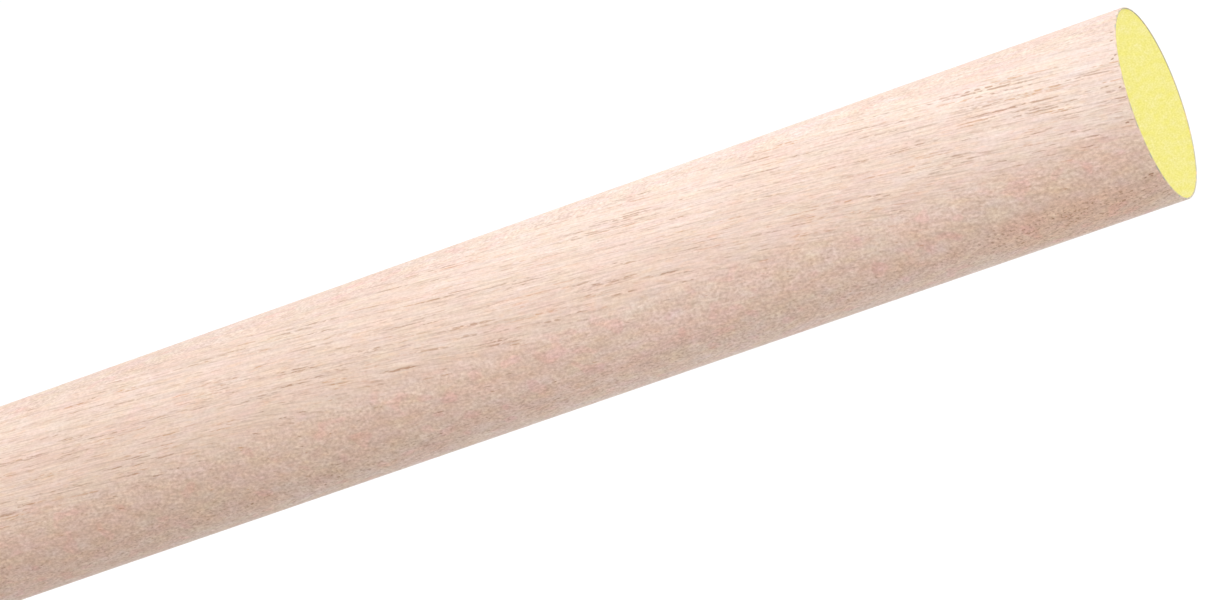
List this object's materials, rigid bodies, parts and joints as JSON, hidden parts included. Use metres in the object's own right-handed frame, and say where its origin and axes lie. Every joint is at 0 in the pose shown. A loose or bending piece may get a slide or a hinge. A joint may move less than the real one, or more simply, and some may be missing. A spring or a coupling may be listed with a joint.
{
  "type": "wooden dowel rod",
  "caption": "Straight round hardwood dowel rod, cut square at both ends, with one end face painted yellow.",
  "frame": {"origin": "centre of the plain end face, on which the rod stands", "axes": "+Z along the rod towards the painted end; the rod is round, so X and Y are any two square directions"},
  "size_m": [0.0318, 0.0316, 0.9144],
  "materials": {
    "wood": "bare, machine-sanded pale hardwood; the upper end face carries a coat of matt yellow paint"
  },
  "bodies": {
    "root": {"dowel_rod": "wood"}
  },
  "joints": []
}
